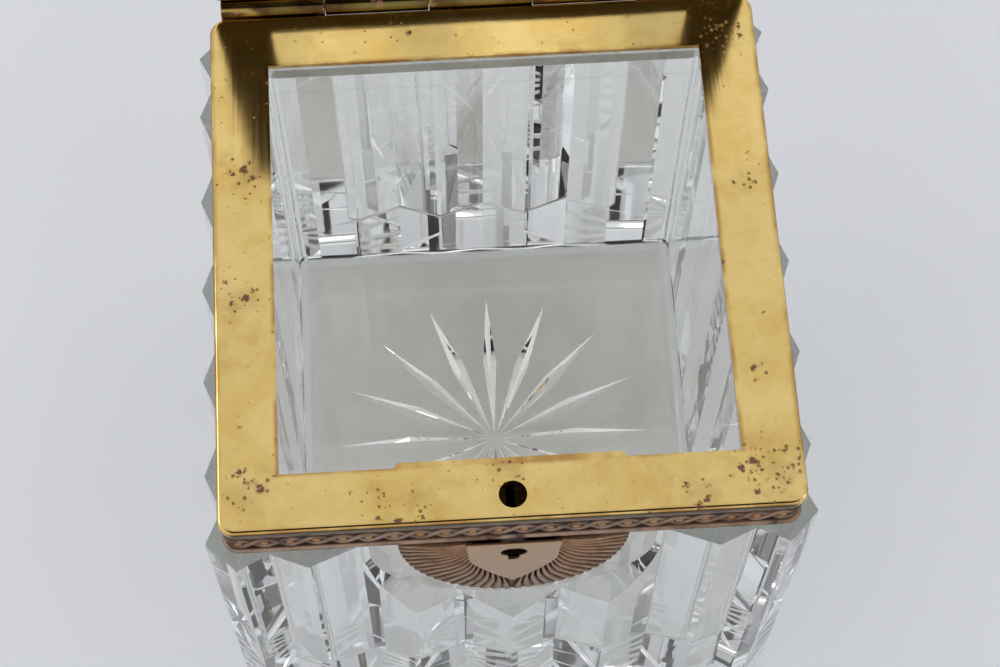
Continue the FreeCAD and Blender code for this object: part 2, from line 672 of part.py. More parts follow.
def make_bolt_spring():
    """Leaf spring: a foot under the case's top wall and a leaf that leans on the bolt."""
    body = new_body("lock_bolt_spring")
    roof = "rim_level - rim_thick - case_wall"
    foot_end = "post_x + post_radius"
    tip = "bolt_top + spring_gap"
    outline = [(foot_end, roof), ("spring_bend", roof), ("spring_tip", tip + " + spring_thick"),
               ("spring_tip + spring_skew", tip), ("spring_bend + spring_skew", roof + " - spring_thick"),
               (foot_end, roof + " - spring_thick")]
    prism(body, "Pad", "spring_leaf", [outline], "-catch_y - spring_width / 2", "spring_width", "XZ_Plane")
    return body


def make_catch():
    """Round shank with an eye, riveted into the lid's rim plate."""
    rivet = mirror_level("rim_level - rim_thick")
    shank = rod("catch_shank", "catch_radius", rivet + " - catch_foot", ("0", "catch_y", "catch_foot"), "z")
    head = rod("catch_rivet", "catch_head", "catch_head_thick", ("0", "catch_y", rivet), "z")
    eye = rod("catch_eye_tool", "catch_eye", "4 * catch_radius",
              ("-2 * catch_radius", "catch_y", "nose_level"), "x")
    return cut("lid_catch", fuse("catch_blank", shank, head), eye)


# ---------------------------------------------------------------- hinge

KNUCKLES = {"body": (-2, 0, 2), "lid": (-1, 1)}


def knuckle_start(index, gap):
    return "(%g) * knuckle_length + %s" % (index - 0.5, gap)


def make_knuckles(side, bore):
    tubes = []
    for index in KNUCKLES[side]:
        name = "%s_knuckle_%d" % (side, index + 3)
        start = (knuckle_start(index, "knuckle_gap / 2"), "hinge_y", "hinge_level")
        tube = rod(name + "_tube", "knuckle_radius", "knuckle_length - knuckle_gap", start, "x")
        tubes.append(cut(name, tube, rod(name + "_bore", bore, "knuckle_length", start, "x")))
    return group("hinge_knuckles_" + side, *tubes)


def make_leaf(side):
    """Strip soldered to the back of the mount, hollowed where it cradles its own knuckles and
    cleared further round the other leaf's knuckles."""
    length = "2.5 * knuckle_length"
    low, high = (("hinge_level - leaf_far", "hinge_level - leaf_near") if side == "body"
                 else ("hinge_level + leaf_near", "hinge_level + leaf_far"))
    strip = block(side + "_leaf_strip", ("-" + length, "rim_reach", low),
                  (length, "rim_reach + leaf_thick", high))
    own = rod(side + "_leaf_cradle", "knuckle_radius", "5 * knuckle_length",
              ("-" + length, "hinge_y", "hinge_level"), "x")
    room = []
    for index in KNUCKLES["lid" if side == "body" else "body"]:
        start = (knuckle_start(index, "-knuckle_gap / 2"), "hinge_y", "hinge_level")
        room.append(rod("%s_leaf_room_%d" % (side, index + 3), "knuckle_radius + leaf_room",
                        "knuckle_length + knuckle_gap", start, "x"))
    return cut("hinge_leaf_" + side, strip, own, *room)


def make_hinge_pin():
    return rod("hinge_pin", "pin_radius", "5 * knuckle_length",
               ("-2.5 * knuckle_length", "hinge_y", "hinge_level"), "x")


# ---------------------------------------------------------------- assembly

def as_drawn(text):
    return text


CASKET = {
    "glass_body": make_glass_body(),
    "rim_plate": make_rim_plate("rim_plate", as_drawn, "catch_hole"),
    "rim_band": make_band("rim_band", as_drawn),
    "rim_cement": make_cement("rim_cement", as_drawn, LOCK_ROOM,
                              "rim_level - rim_thick - cement_gap"),
    "front_apron": make_apron(),
    "shield_escutcheon": make_shield(),
    "lock_case": make_lock_case(),
    "lock_cap_posts": make_cap_posts(),
    "lock_cap": make_lock_cap(),
    "lock_cap_screws": make_cap_screws(),
    "lock_selvedge": make_selvedge(),
    "lock_drill_pin": make_drill_pin(),
    "lock_guide_pins": make_guide_pins(),
    "lock_bolt": make_bolt(),
    "lock_bolt_spring": make_bolt_spring(),
    "hinge_knuckles_body": make_knuckles("body", "pin_radius"),
    "hinge_leaf_body": make_leaf("body"),
    "hinge_pin": make_hinge_pin(),
}

LID = {
    "lid_glass": make_lid_glass(),
    "lid_rim_plate": make_rim_plate("lid_rim_plate", mirror_level, "catch_radius"),
    "lid_band": make_band("lid_band", mirror_level),
    "lid_cement": make_cement("lid_cement", mirror_level, RIVET_ROOM,
                              mirror_level("neck_level + cement_gap")),
    "lid_catch": make_catch(),
    "hinge_knuckles_lid": make_knuckles("lid", "pin_radius + pin_play"),
    "hinge_leaf_lid": make_leaf("lid"),
}

for obj in LID.values():
    obj.setExpression("Placement", "placement(vector(0; 0; 0);"
                      " rotation(vector(1; 0; 0); -dims.lid_open_angle);"
                      " vector(0; dims.hinge_y; dims.hinge_level))")

doc.recompute()

for obj in doc.Objects:
    bad = [state for state in obj.State if state in ("Invalid", "Error")]
    if bad:
        raise RuntimeError("%s did not compute: %s" % (obj.Name, ", ".join(bad)))

os.makedirs("parts", exist_ok=True)
for node, obj in {**CASKET, **LID}.items():
    obj.Label = node
    if obj.Shape.isNull() or not obj.Shape.isValid() or not obj.Shape.Solids:
        raise RuntimeError("%s has no valid solid" % node)
    obj.Shape.exportStep("parts/%s.step" % node)
    box = obj.Shape.optimalBoundingBox()
    print("%-22s %d solids %10.1f mm3  x %.2f..%.2f  y %.2f..%.2f  z %.2f..%.2f" % (
        node, len(obj.Shape.Solids), obj.Shape.Volume,
        box.XMin, box.XMax, box.YMin, box.YMax, box.ZMin, box.ZMax))
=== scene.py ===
import bmesh
import bpy
import json
import math
import numpy as np
from mathutils import Matrix, Vector


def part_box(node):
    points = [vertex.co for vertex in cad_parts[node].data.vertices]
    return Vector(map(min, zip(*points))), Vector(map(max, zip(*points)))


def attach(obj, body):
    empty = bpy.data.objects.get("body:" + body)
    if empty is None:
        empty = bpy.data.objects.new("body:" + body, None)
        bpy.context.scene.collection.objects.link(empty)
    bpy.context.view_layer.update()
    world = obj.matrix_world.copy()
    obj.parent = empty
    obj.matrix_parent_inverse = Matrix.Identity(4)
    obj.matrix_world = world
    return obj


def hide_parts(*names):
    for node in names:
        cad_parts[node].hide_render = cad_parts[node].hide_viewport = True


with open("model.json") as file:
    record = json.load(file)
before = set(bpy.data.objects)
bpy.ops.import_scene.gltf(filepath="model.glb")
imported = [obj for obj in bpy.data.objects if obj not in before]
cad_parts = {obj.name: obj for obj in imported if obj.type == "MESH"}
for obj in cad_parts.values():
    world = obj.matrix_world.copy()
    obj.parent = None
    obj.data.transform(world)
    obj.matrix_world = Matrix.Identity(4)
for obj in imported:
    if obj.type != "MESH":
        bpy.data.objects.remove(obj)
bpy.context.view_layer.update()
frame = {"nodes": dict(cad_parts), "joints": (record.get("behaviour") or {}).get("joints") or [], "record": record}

# Cut-crystal casket with brass mounts. Metres, +Z up, the lock faces -Y, the hinge is at +Y.

MM = 0.001

# ---------------------------------------------------------------- places, from the frame

HINGE = [joint for joint in frame["joints"] if joint["type"] == "hinge"][0]
HINGE_POINT = Vector(HINGE["pos_m"])
OPEN_ANGLE = math.radians(max(HINGE["range_deg"]))

RIM_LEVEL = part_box("rim_plate")[1].z
RIM_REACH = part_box("rim_plate")[1].x
RIM_WIDTH = 12.6 * MM           # of the flat plate, from its edge to the opening
MOUTH_REACH = RIM_REACH - RIM_WIDTH
BAND_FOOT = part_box("rim_band")[0].z
BAND_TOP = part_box("rim_band")[1].z
APRON_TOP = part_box("front_apron")[1].z
APRON_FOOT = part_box("front_apron")[0].z
APRON_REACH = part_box("front_apron")[1].x
APRON_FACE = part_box("front_apron")[0].y
APRON_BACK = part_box("front_apron")[1].y
SHIELD_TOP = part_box("shield_escutcheon")[1].z
SHIELD_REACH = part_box("shield_escutcheon")[1].x
SHIELD_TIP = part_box("shield_escutcheon")[0].z
SHIELD_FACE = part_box("shield_escutcheon")[0].y
PARTING_LEVEL = RIM_LEVEL + 0.05 * MM   # halfway between the two plates when the lid is closed
WELL_FLOOR = 16 * MM
RIB_TOP = 105.6 * MM            # level of the ribs' flat upper ends

# ---------------------------------------------------------------- sizes of the details

CORNER = 3.6 * MM            # corner radius of the mounts, at their widest
BAND_STEP = 0.28 * MM        # spacing of the band's points along it
BAND_ROW = 0.24 * MM         # and up it
BAND_THICK = 0.9 * MM        # sheet of the band behind its sunk face
BAND_SUNK = 0.9 * MM         # how far the band's sunk face lies inside its foot roll
ROLL_HEIGHT = 1.3 * MM
BEAD_FOOT = 8.3 * MM         # level of the upper bead above the band's foot
BEAD_HEIGHT = 0.8 * MM
BEAD_OUT = 0.55 * MM
EYE_PITCH = 5.35 * MM        # from one eye of the guilloche to the next
EYE_RADIUS = 1.0 * MM
STRAND_SWING = 1.75 * MM
STRAND_HALF = 0.72 * MM
STRAND_HEIGHT = 0.62 * MM
STRAND_GROOVE = 0.17 * MM    # half width of the line along the middle of a strand
GROOVE_DEPTH = 0.3           # of that line, as a share of the strand's height
STRAND_DIP = 0.65            # how far a strand sinks where it passes under the other
EYE_HEIGHT = 0.95            # of the eyes, as a share of the strand's height
FILLET_WEAR, BACK_WEAR = 0.6, 0.3   # how far the plain top of the band and its back are rubbed
FOOT_RISE = 3.5 * MM         # frosted rounding between the well's walls and its floor
APRON_FLUTES = 17            # feathers on each side
APRON_SCALLOP = 0.55 * MM    # depth of the notches between the feathers' tips
APRON_SWELL = 1.15 * MM      # height of a feather above the sheet
APRON_SHEET = 0.6 * MM       # flat sheet behind the feathers
APRON_CURL = 0.13            # sideways sweep of a feather, as a share of its length
ROOT_INSET = 0.86            # the feathers' roots lie at this share of the shield's half width and height
ROOT_CROWDING = 1.7          # power that crowds the roots towards the shield's top: 1 is even
TIP_CROWDING = 1.15          # power that crowds the tips towards the band
SHIELD_SQUARE = 9 * MM       # height of the shield above its point
SHIELD_TAPER = 0.07          # how much narrower the shield is there than at its top
SHIELD_BULGE = 1.35          # fullness of the point's sides: 1 is straight
SHIELD_GAP = 0.1 * MM        # left between the shield's top and the band's foot


# ---------------------------------------------------------------- mesh helpers

def new_piece(name, verts, faces):
    mesh = bpy.data.meshes.new(name)
    mesh.from_pydata([tuple(v) for v in verts], [], faces)
    mesh.validate()
    piece = bpy.data.objects.new(name, mesh)
    bpy.context.scene.collection.objects.link(piece)
    return piece


def tidy_normals(piece, smooth_angle):
    """Outward normals, smooth below an angle and sharp above it."""
    work = bmesh.new()
    work.from_mesh(piece.data)
    bmesh.ops.recalc_face_normals(work, faces=work.faces)
    work.to_mesh(piece.data)
    work.free()
    piece.data.polygons.foreach_set("use_smooth", [True] * len(piece.data.polygons))
    piece.data.set_sharp_from_angle(angle=math.radians(smooth_angle))


def apply_modifiers(piece):
    """Make what the modifiers show the piece's own mesh."""
    graph = bpy.context.evaluated_depsgraph_get()
    mesh = bpy.data.meshes.new_from_object(piece.evaluated_get(graph))
    piece.modifiers.clear()
    piece.data = mesh


def eased_copy(name, node, width, segments=2, sharper_than=25):
    """A CAD solid with its sharp edges eased, as polishing leaves them."""
    mesh = frame["nodes"][node].data.copy()
    mesh.name = name
    work = bmesh.new()
    work.from_mesh(mesh)
    bmesh.ops.remove_doubles(work, verts=work.verts, dist=1e-6)
    work.to_mesh(mesh)
    work.free()
    piece = bpy.data.objects.new(name, mesh)
    bpy.context.scene.collection.objects.link(piece)
    bevel = piece.modifiers.new("ease", "BEVEL")
    bevel.width = width
    bevel.segments = segments
    bevel.limit_method = "ANGLE"
    bevel.angle_limit = math.radians(sharper_than)
    bevel.use_clamp_overlap = True
    bpy.context.view_layer.update()
    apply_modifiers(piece)
    tidy_normals(piece, 60)
    flatten = piece.modifiers.new("flatten", "WEIGHTED_NORMAL")
    flatten.mode = "FACE_AREA"
    flatten.weight = 90
    flatten.keep_sharp = True
    apply_modifiers(piece)
    return piece


def swing_open(piece):
    """Turn a mount built on the casket into the lid's own: upside down, then open about the hinge."""
    over = Matrix.Translation((0, 0, 2 * PARTING_LEVEL)) @ Matrix.Diagonal((1, 1, -1, 1))
    about = Matrix.Translation(HINGE_POINT)
    opened = about @ Matrix.Rotation(-OPEN_ANGLE, 4, "X") @ about.inverted()
    piece.data.transform(opened @ over)
    piece.data.flip_normals()
    return piece


SLOTS = {part["node"]: part["material_slot"] for part in frame["record"]["subparts"]}
BODIES = {node: body for body, nodes in frame["record"]["behaviour"]["bodies"].items() for node in nodes}


def stand_for(piece, node):
    """Give a piece the body and the look of the CAD node that it stands for."""
    piece.data.materials.clear()
    piece.data.materials.append(material_for(node))
    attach(piece, BODIES[node])
    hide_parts(node)


def paint(piece, name, numbers):
    """Store a number at each point of a piece, for its material to read."""
    layer = piece.data.attributes.new(name, "FLOAT", "POINT")
    layer.data.foreach_set("value", np.asarray(numbers, np.float32).ravel())


# ---------------------------------------------------------------- material helpers

class Shading:
    """A material's node tree, written one node a line.

    With opened set, places are read as if the lid were closed, so that both mounts share one pattern.
    """

    def __init__(self, name, opened=False):
        self.material = bpy.data.materials.new(name)
        self.material.use_nodes = True
        self.tree = self.material.node_tree
        self.tree.nodes.clear()
        self.output = self.tree.nodes.new("ShaderNodeOutputMaterial")
        self.place = self.node("ShaderNodeTexCoord").outputs["Object"]
        if opened:
            closing = Matrix.Rotation(OPEN_ANGLE, 3, "X")
            self.place = self.node("ShaderNodeMapping", Vector=self.place, Rotation=(OPEN_ANGLE, 0, 0),
                                   Location=HINGE_POINT - closing @ HINGE_POINT).outputs[0]

    def node(self, kind, settings=(), **inputs):
        made = self.tree.nodes.new(kind)
        for key, setting in dict(settings).items():
            setattr(made, key, setting)
        for key, source in inputs.items():
            socket = made.inputs[int(key[1:])] if key[1:].isdigit() else made.inputs[key.replace("_", " ")]
            self.feed(socket, source)
        return made

    def feed(self, socket, source):
        if isinstance(source, bpy.types.NodeSocket):
            self.tree.links.new(source, socket)
        else:
            socket.default_value = source

    def noise(self, scale, detail=4.0, rough=0.55, stretch=None, distortion=0.0):
        place = self.place
        if stretch:
            place = self.node("ShaderNodeMapping", Vector=place, Scale=stretch).outputs[0]
        made = self.node("ShaderNodeTexNoise", Vector=place, Scale=scale, Detail=detail,
                         Roughness=rough, Distortion=distortion)
        return made.outputs["Fac"]

    def spots(self, scale, share, largest, ragged, soft, wider=0.0):
        """Round spots with ragged edges, in this share of the cells of a random pattern."""
        cells = self.node("ShaderNodeTexVoronoi", Vector=self.place, Scale=scale)
        # The luckier a cell, the larger its spot; an unlucky one has a size below nothing and no spot.
        chance = self.node("ShaderNodeSeparateColor", Color=cells.outputs["Color"]).outputs[0]
        size = self.math("SUBTRACT", self.math("ADD", chance, share), 1.0)
        size = self.math("MINIMUM", self.math("MULTIPLY", size, 2.2), 1.0)
        size = self.math("ADD", self.math("MULTIPLY", size, largest), wider)
        fray = self.math("MULTIPLY", self.math("SUBTRACT", self.noise(scale * 4.5, detail=4), 0.5), ragged)
        inside = self.math("SUBTRACT", size, self.math("ADD", cells.outputs["Distance"], fray))
        return self.ramp(inside, -soft, soft)

    def math(self, operation, first, second=0.0, clamp=False):
        made = self.node("ShaderNodeMath", {"operation": operation, "use_clamp": clamp}, _0=first, _1=second)
        return made.outputs[0]

    def ramp(self, source, low, high, to_low=0.0, to_high=1.0):
        made = self.node("ShaderNodeMapRange", {"interpolation_type": "SMOOTHSTEP"}, Value=source)
        for index, number in enumerate((low, high, to_low, to_high), start=1):
            made.inputs[index].default_value = number
        return made.outputs[0]

    def mix(self, share, first, second):
        made = self.node("ShaderNodeMix", {"data_type": "RGBA"})
        self.feed(made.inputs[0], share)
        self.feed(made.inputs[6], first)
        self.feed(made.inputs[7], second)
        return made.outputs[2]

    def within(self, centre, reach):
        """One at a place, falling to nothing at a distance from it."""
        gap = self.node("ShaderNodeVectorMath", {"operation": "DISTANCE"}, _0=self.place, _1=centre)
        return self.ramp(gap.outputs["Value"], reach, 0.25 * reach)

    def painted(self, name):
        """A number that the mesh carries at each of its points."""
        return self.node("ShaderNodeAttribute", {"attribute_name": name}).outputs["Fac"]

    def bump(self, height, strength, distance):
        made = self.node("ShaderNodeBump", Height=height, Strength=strength, Distance=distance)
        return made.outputs[0]

    def principled(self, **inputs):
        made = self.node("ShaderNodeBsdfPrincipled", (), **inputs)
        self.tree.links.new(made.outputs[0], self.output.inputs[0])
        return made


def colour(red, green, blue):
    return (red, green, blue, 1.0)


# ---------------------------------------------------------------- materials

CRYSTAL_GREENISH, CRYSTAL_CLEAR = colour(0.92, 0.93, 0.91), colour(0.955, 0.96, 0.945)
FLOOR_SHADE_PALE, FLOOR_SHADE_WORN = colour(0.905, 0.865, 0.80), colour(0.80, 0.75, 0.68)
RIB_END_SHADE_DARK, RIB_END_SHADE_LIGHT = colour(0.29, 0.31, 0.27), colour(0.43, 0.45, 0.41)
CRYSTAL_SHADOW = colour(0.9, 0.91, 0.9)
LEAD_GLASS_IOR = 1.545

BRASS_DEEP, BRASS_PALE = colour(0.77, 0.52, 0.16), colour(0.86, 0.635, 0.245)
BRASS_CLOUD, BRASS_EDGE = colour(0.50, 0.27, 0.075), colour(0.42, 0.17, 0.035)
STAIN_HAZE, STAIN_HALO = colour(0.40, 0.23, 0.07), colour(0.33, 0.15, 0.04)
STAIN_RING, STAIN_CORE = colour(0.17, 0.07, 0.04), colour(0.27, 0.14, 0.12)
STAIN_FRECKLE, LIP_PAINTED_SHADOW = colour(0.22, 0.095, 0.03), colour(0.035, 0.02, 0.012)
STAIN_CELLS, FRECKLE_CELLS = 400, 850    # cells a metre of the two random patterns
STAIN_SIZE, STAIN_FRAY = 0.30, 1.1       # of the largest stain, as shares of a cell

BRONZE_HOLLOW, BRONZE_HIGH = colour(0.05, 0.03, 0.02), colour(0.42, 0.285, 0.205)
BRONZE_PATCH, BRONZE_AMBER = colour(0.25, 0.12, 0.06), colour(0.50, 0.235, 0.06)
BRONZE_RUBBED = colour(0.75, 0.42, 0.22)
SATIN_DARK, SATIN_LIGHT = colour(0.44, 0.27, 0.155), colour(0.54, 0.37, 0.235)
SATIN_OLIVE, SATIN_PIT = colour(0.50, 0.37, 0.19), colour(0.14, 0.075, 0.05)
HINGE_BROWN, HINGE_OLIVE = colour(0.10, 0.045, 0.018), colour(0.21, 0.16, 0.045)
HINGE_GOLD, HINGE_BLUE = colour(0.52, 0.35, 0.11), colour(0.13, 0.25, 0.22)
HINGE_SPOT = colour(0.42, 0.19, 0.12)


def make_crystal():
    """Clear lead crystal with polished faces, a worn floor in the well tinted grey-brown in patches, partly as
    painted shade, and a frosted foot round it.

    Shadow rays pass through it, so that the lamps light what is inside.
    """
    look = Shading("crystal")
    split = look.node("ShaderNodeSeparateXYZ", Vector=look.place)
    reach = look.math("MAXIMUM", look.math("ABSOLUTE", split.outputs["X"]),
                      look.math("ABSOLUTE", split.outputs["Y"]))
    rise = look.math("SUBTRACT", split.outputs["Z"], WELL_FLOOR)
    inside = look.math("LESS_THAN", reach, MOUTH_REACH + 0.5 * MM)
    floor = look.math("MULTIPLY", look.ramp(look.math("ABSOLUTE", rise), 0.7 * MM, 0.2 * MM), inside)
    foot = look.math("MULTIPLY", look.ramp(rise, FOOT_RISE, 0.6 * FOOT_RISE),
                     look.ramp(rise, -0.5 * MM, 0.1 * MM))
    foot = look.math("MULTIPLY", look.math("MULTIPLY", foot, inside),
                     look.ramp(reach, MOUTH_REACH - 1.1 * FOOT_RISE, MOUTH_REACH - 0.8 * FOOT_RISE))

    tint = look.mix(look.noise(25), CRYSTAL_GREENISH, CRYSTAL_CLEAR)
    # Patches of the well's floor are roughened by wear and tinted grey-brown. The tint is partly the satin of the
    # worn glass and partly painted shade of the floor seen through onto the table.
    wear_and_shade = look.ramp(look.noise(45, detail=6, rough=0.7), 0.35, 0.7)
    floor_shade_and_wear = look.mix(wear_and_shade, FLOOR_SHADE_PALE, FLOOR_SHADE_WORN)
    tint = look.mix(floor, tint, floor_shade_and_wear)
    # The flat upper ends of the ribs are tinted dark grey-green. This is partly their own satin grey and partly
    # painted shade where the band overhangs them.
    above = look.math("ABSOLUTE", look.math("SUBTRACT", split.outputs["Z"], RIB_TOP))
    rib_end_shade = look.ramp(above, 0.12 * MM, 0.04 * MM)
    streaks = look.noise(120, detail=5, stretch=(1, 3, 1))
    tint = look.mix(rib_end_shade, tint, look.mix(streaks, RIB_END_SHADE_DARK, RIB_END_SHADE_LIGHT))
    handled = look.ramp(look.noise(140, detail=6, rough=0.7), 0.5, 0.8)
    rough = look.math("ADD", look.math("MULTIPLY", handled, 0.02), look.math("MULTIPLY", foot, 0.15))
    rough = look.math("ADD", rough, look.math("MULTIPLY", look.math("MULTIPLY", floor, wear_and_shade), 0.05))
    glass = look.principled(Base_Color=tint, IOR=LEAD_GLASS_IOR, Transmission_Weight=1.0, Roughness=rough,
                            Normal=look.bump(look.noise(30, detail=1), 0.02, 0.0004))
    clear = look.node("ShaderNodeBsdfTransparent", Color=CRYSTAL_SHADOW)
    path = look.node("ShaderNodeLightPath")
    lamps = look.node("ShaderNodeMixShader", _0=path.outputs["Is Shadow Ray"],
                      _1=glass.outputs[0], _2=clear.outputs[0])
    look.tree.links.new(lamps.outputs[0], look.output.inputs[0])
    return look.material


# Where the rim is most tarnished, as (x, y, reach) in millimetres, seen from above.
TARNISHED = [(54, -52, 11), (49, -49, 8), (-22, -56, 8), (-28, -53, 4), (-1, -50, 6), (-53, -50, 8),
             (-54, -8, 7), (-54, 22, 8), (54, 14, 5), (52, 50, 9), (-18, 54, 4), (38, -56, 5), (53, -30, 5)]


def make_rim_brass(name, opened):
    """Polished brass, amber at its edges, with blotches of tarnish, freckles, fine brush lines and a painted
    shadow under the plate's turned-down edge.
    """
    look = Shading(name, opened)
    split = look.node("ShaderNodeSeparateXYZ", Vector=look.place)
    across = look.math("ABSOLUTE", split.outputs["X"])
    along = look.math("ABSOLUTE", split.outputs["Y"])
    reach = look.math("MAXIMUM", across, along)

    mottle = look.ramp(look.noise(60, detail=7, rough=0.68), 0.34, 0.64)
    tone = look.mix(mottle, BRASS_DEEP, BRASS_PALE)
    cloud = look.ramp(look.noise(55, detail=6, rough=0.65), 0.52, 0.8)
    tone = look.mix(look.math("MULTIPLY", cloud, 0.55), tone, BRASS_CLOUD)
    edges = look.math("MAXIMUM", look.ramp(reach, MOUTH_REACH + 1.1 * MM, MOUTH_REACH),
                      look.ramp(reach, RIM_REACH - 1.6 * MM, RIM_REACH))
    edges = look.math("MULTIPLY", edges, look.ramp(look.noise(90, detail=3), 0.35, 0.6))
    tone = look.mix(look.math("MULTIPLY", edges, 0.75), tone, BRASS_EDGE)

    cluster = None
    for x, y, size in TARNISHED:
        here = look.within((x * MM, y * MM, RIM_LEVEL), size * MM)
        cluster = here if cluster is None else look.math("MAXIMUM", cluster, here)
    share = look.math("ADD", look.math("MULTIPLY", cluster, 0.72), 0.10)
    halo = look.spots(STAIN_CELLS, share, STAIN_SIZE, STAIN_FRAY, 0.2, 0.08)
    ring = look.spots(STAIN_CELLS, share, STAIN_SIZE, STAIN_FRAY, 0.06)
    core = look.spots(STAIN_CELLS, share, STAIN_SIZE, STAIN_FRAY, 0.06, -0.08)
    freckled = look.math("ADD", look.math("MULTIPLY", cluster, 0.45), 0.2)
    freckle = look.spots(FRECKLE_CELLS, freckled, 0.36, 0.4, 0.07)
    haze = look.math("MULTIPLY", cluster, look.ramp(look.noise(160, detail=5), 0.42, 0.66))
    tone = look.mix(look.math("MULTIPLY", haze, 0.35), tone, STAIN_HAZE)
    tone = look.mix(look.math("MULTIPLY", halo, 0.4), tone, STAIN_HALO)
    tone = look.mix(look.math("MULTIPLY", freckle, 0.7), tone, STAIN_FRECKLE)
    tone = look.mix(look.math("MULTIPLY", ring, 0.85), tone, STAIN_RING)
    tone = look.mix(look.math("MULTIPLY", core, 0.7), tone, STAIN_CORE)
    # Painted shadow: the outer face just below the plate is near black. It stands in for the shade in the gap
    # between the plate and the band.
    gap = look.math("ABSOLUTE", look.math("SUBTRACT", split.outputs["Z"], PARTING_LEVEL))
    lip_shadow_mask = look.math("MULTIPLY", look.ramp(gap, 0.3 * MM, 0.5 * MM),
                    look.ramp(reach, RIM_REACH - 0.5 * MM, RIM_REACH))
    tone = look.mix(look.math("MULTIPLY", lip_shadow_mask, 0.92), tone, LIP_PAINTED_SHADOW)

    lengthwise = look.noise(260, detail=3, stretch=(0.06, 5.0, 1))
    crosswise = look.noise(260, detail=3, stretch=(5.0, 0.06, 1))
    side = look.math("GREATER_THAN", across, along)
    brushed = look.node("ShaderNodeMix", {"data_type": "FLOAT"},
                        _0=side, _2=lengthwise, _3=crosswise).outputs[0]
    marred = look.math("MAXIMUM", ring, freckle)
    rough = look.math("ADD", look.math("MULTIPLY", marred, 0.35), 0.05)
    rough = look.math("ADD", rough, look.math("MULTIPLY", cloud, 0.06))
    rough = look.math("ADD", rough, look.math("MULTIPLY", brushed, 0.10), clamp=True)
    height = look.math("MULTIPLY", look.noise(28, detail=2), 1.6)
    height = look.math("SUBTRACT", height, look.math("MULTIPLY", marred, 0.08))
    height = look.math("ADD", height, look.math("MULTIPLY", brushed, 0.03))
    look.principled(Base_Color=tone, Metallic=1.0, Roughness=rough, Normal=look.bump(height, 0.35, 0.0004))
    return look.material


def make_bronze(name, opened=False):
    """Purple-brown patina: near black in the hollows, rubbed on the high places, amber in the eyes."""
    look = Shading(name, opened)
    worn = look.ramp(look.painted("worn"), 0.15, 0.9)
    worn = look.math("MULTIPLY", worn, look.ramp(look.noise(260, detail=4), 0.2, 0.6))
    tone = look.mix(worn, BRONZE_HOLLOW, BRONZE_HIGH)
    patches = look.ramp(look.noise(95, detail=5), 0.45, 0.7)
    tone = look.mix(look.math("MULTIPLY", patches, 0.4), tone, BRONZE_PATCH)
    tone = look.mix(look.math("MULTIPLY", look.painted("amber"), 0.85), tone, BRONZE_AMBER)
    rubbed = look.math("MULTIPLY", look.ramp(look.noise(420, detail=3), 0.64, 0.72), worn)
    tone = look.mix(look.math("MULTIPLY", rubbed, 0.7), tone, BRONZE_RUBBED)
    rough = look.math("ADD", look.math("MULTIPLY", look.noise(300), 0.2), 0.30)
    look.principled(Base_Color=tone, Metallic=0.9, Roughness=rough,
                    Normal=look.bump(look.noise(1200, detail=3), 0.2, 0.00012))
    return look.material


def make_escutcheon_bronze():
    """Satin pinkish-brown patina with a few hairline scratches."""
    look = Shading("escutcheon_bronze")
    tone = look.mix(look.noise(110, detail=5), SATIN_DARK, SATIN_LIGHT)
    cloud = look.ramp(look.noise(70, detail=4), 0.5, 0.75)
    tone = look.mix(look.math("MULTIPLY", cloud, 0.5), tone, SATIN_OLIVE)
    pits = look.ramp(look.noise(900, detail=2), 0.70, 0.74)
    tone = look.mix(look.math("MULTIPLY", pits, 0.7), tone, SATIN_PIT)
    scratches = look.noise(300, detail=3, stretch=(0.3, 1, 4))
    rough = look.math("ADD", look.math("MULTIPLY", scratches, 0.12), 0.27)
    look.principled(Base_Color=tone, Metallic=0.92, Roughness=rough,
                    Normal=look.bump(scratches, 0.15, 0.0001))
    return look.material


def make_hinge_brass(name, opened):
    """Glossy heat-coloured brass: brown and olive, with bands of gold and blue-green."""
    look = Shading(name, opened)
    tone = look.mix(look.ramp(look.noise(60, detail=4), 0.4, 0.6), HINGE_BROWN, HINGE_OLIVE)
    bands = look.noise(75, detail=3, stretch=(0.5, 2.5, 2.5), distortion=0.6)
    tone = look.mix(look.math("MULTIPLY", look.ramp(bands, 0.52, 0.60), 0.8), tone, HINGE_GOLD)
    tone = look.mix(look.math("MULTIPLY", look.ramp(bands, 0.62, 0.68), 0.8), tone, HINGE_BLUE)
    spots = look.ramp(look.noise(420, detail=2), 0.66, 0.70)
    tone = look.mix(look.math("MULTIPLY", spots, 0.8), tone, HINGE_SPOT)
    rough = look.math("ADD", look.math("MULTIPLY", spots, 0.25), 0.17)
    look.principled(Base_Color=tone, Metallic=1.0, Roughness=rough,
                    Normal=look.bump(look.noise(500, detail=3), 0.2, 0.0001))
    return look.material


def make_plain_metal(name, light, dark, roughness, metallic=1.0):
    """Dull metal, or plaster with metallic at 0, in patches of two tones."""
    look = Shading(name)
    patches = look.ramp(look.noise(180, detail=5), 0.4, 0.66)
    tone = look.mix(patches, light, dark)
    rough = look.math("ADD", look.math("MULTIPLY", look.noise(500), 0.15), roughness)
    look.principled(Base_Color=tone, Metallic=metallic, Roughness=rough,
                    Normal=look.bump(look.noise(700, detail=3), 0.12, 0.0002))
    return look.material


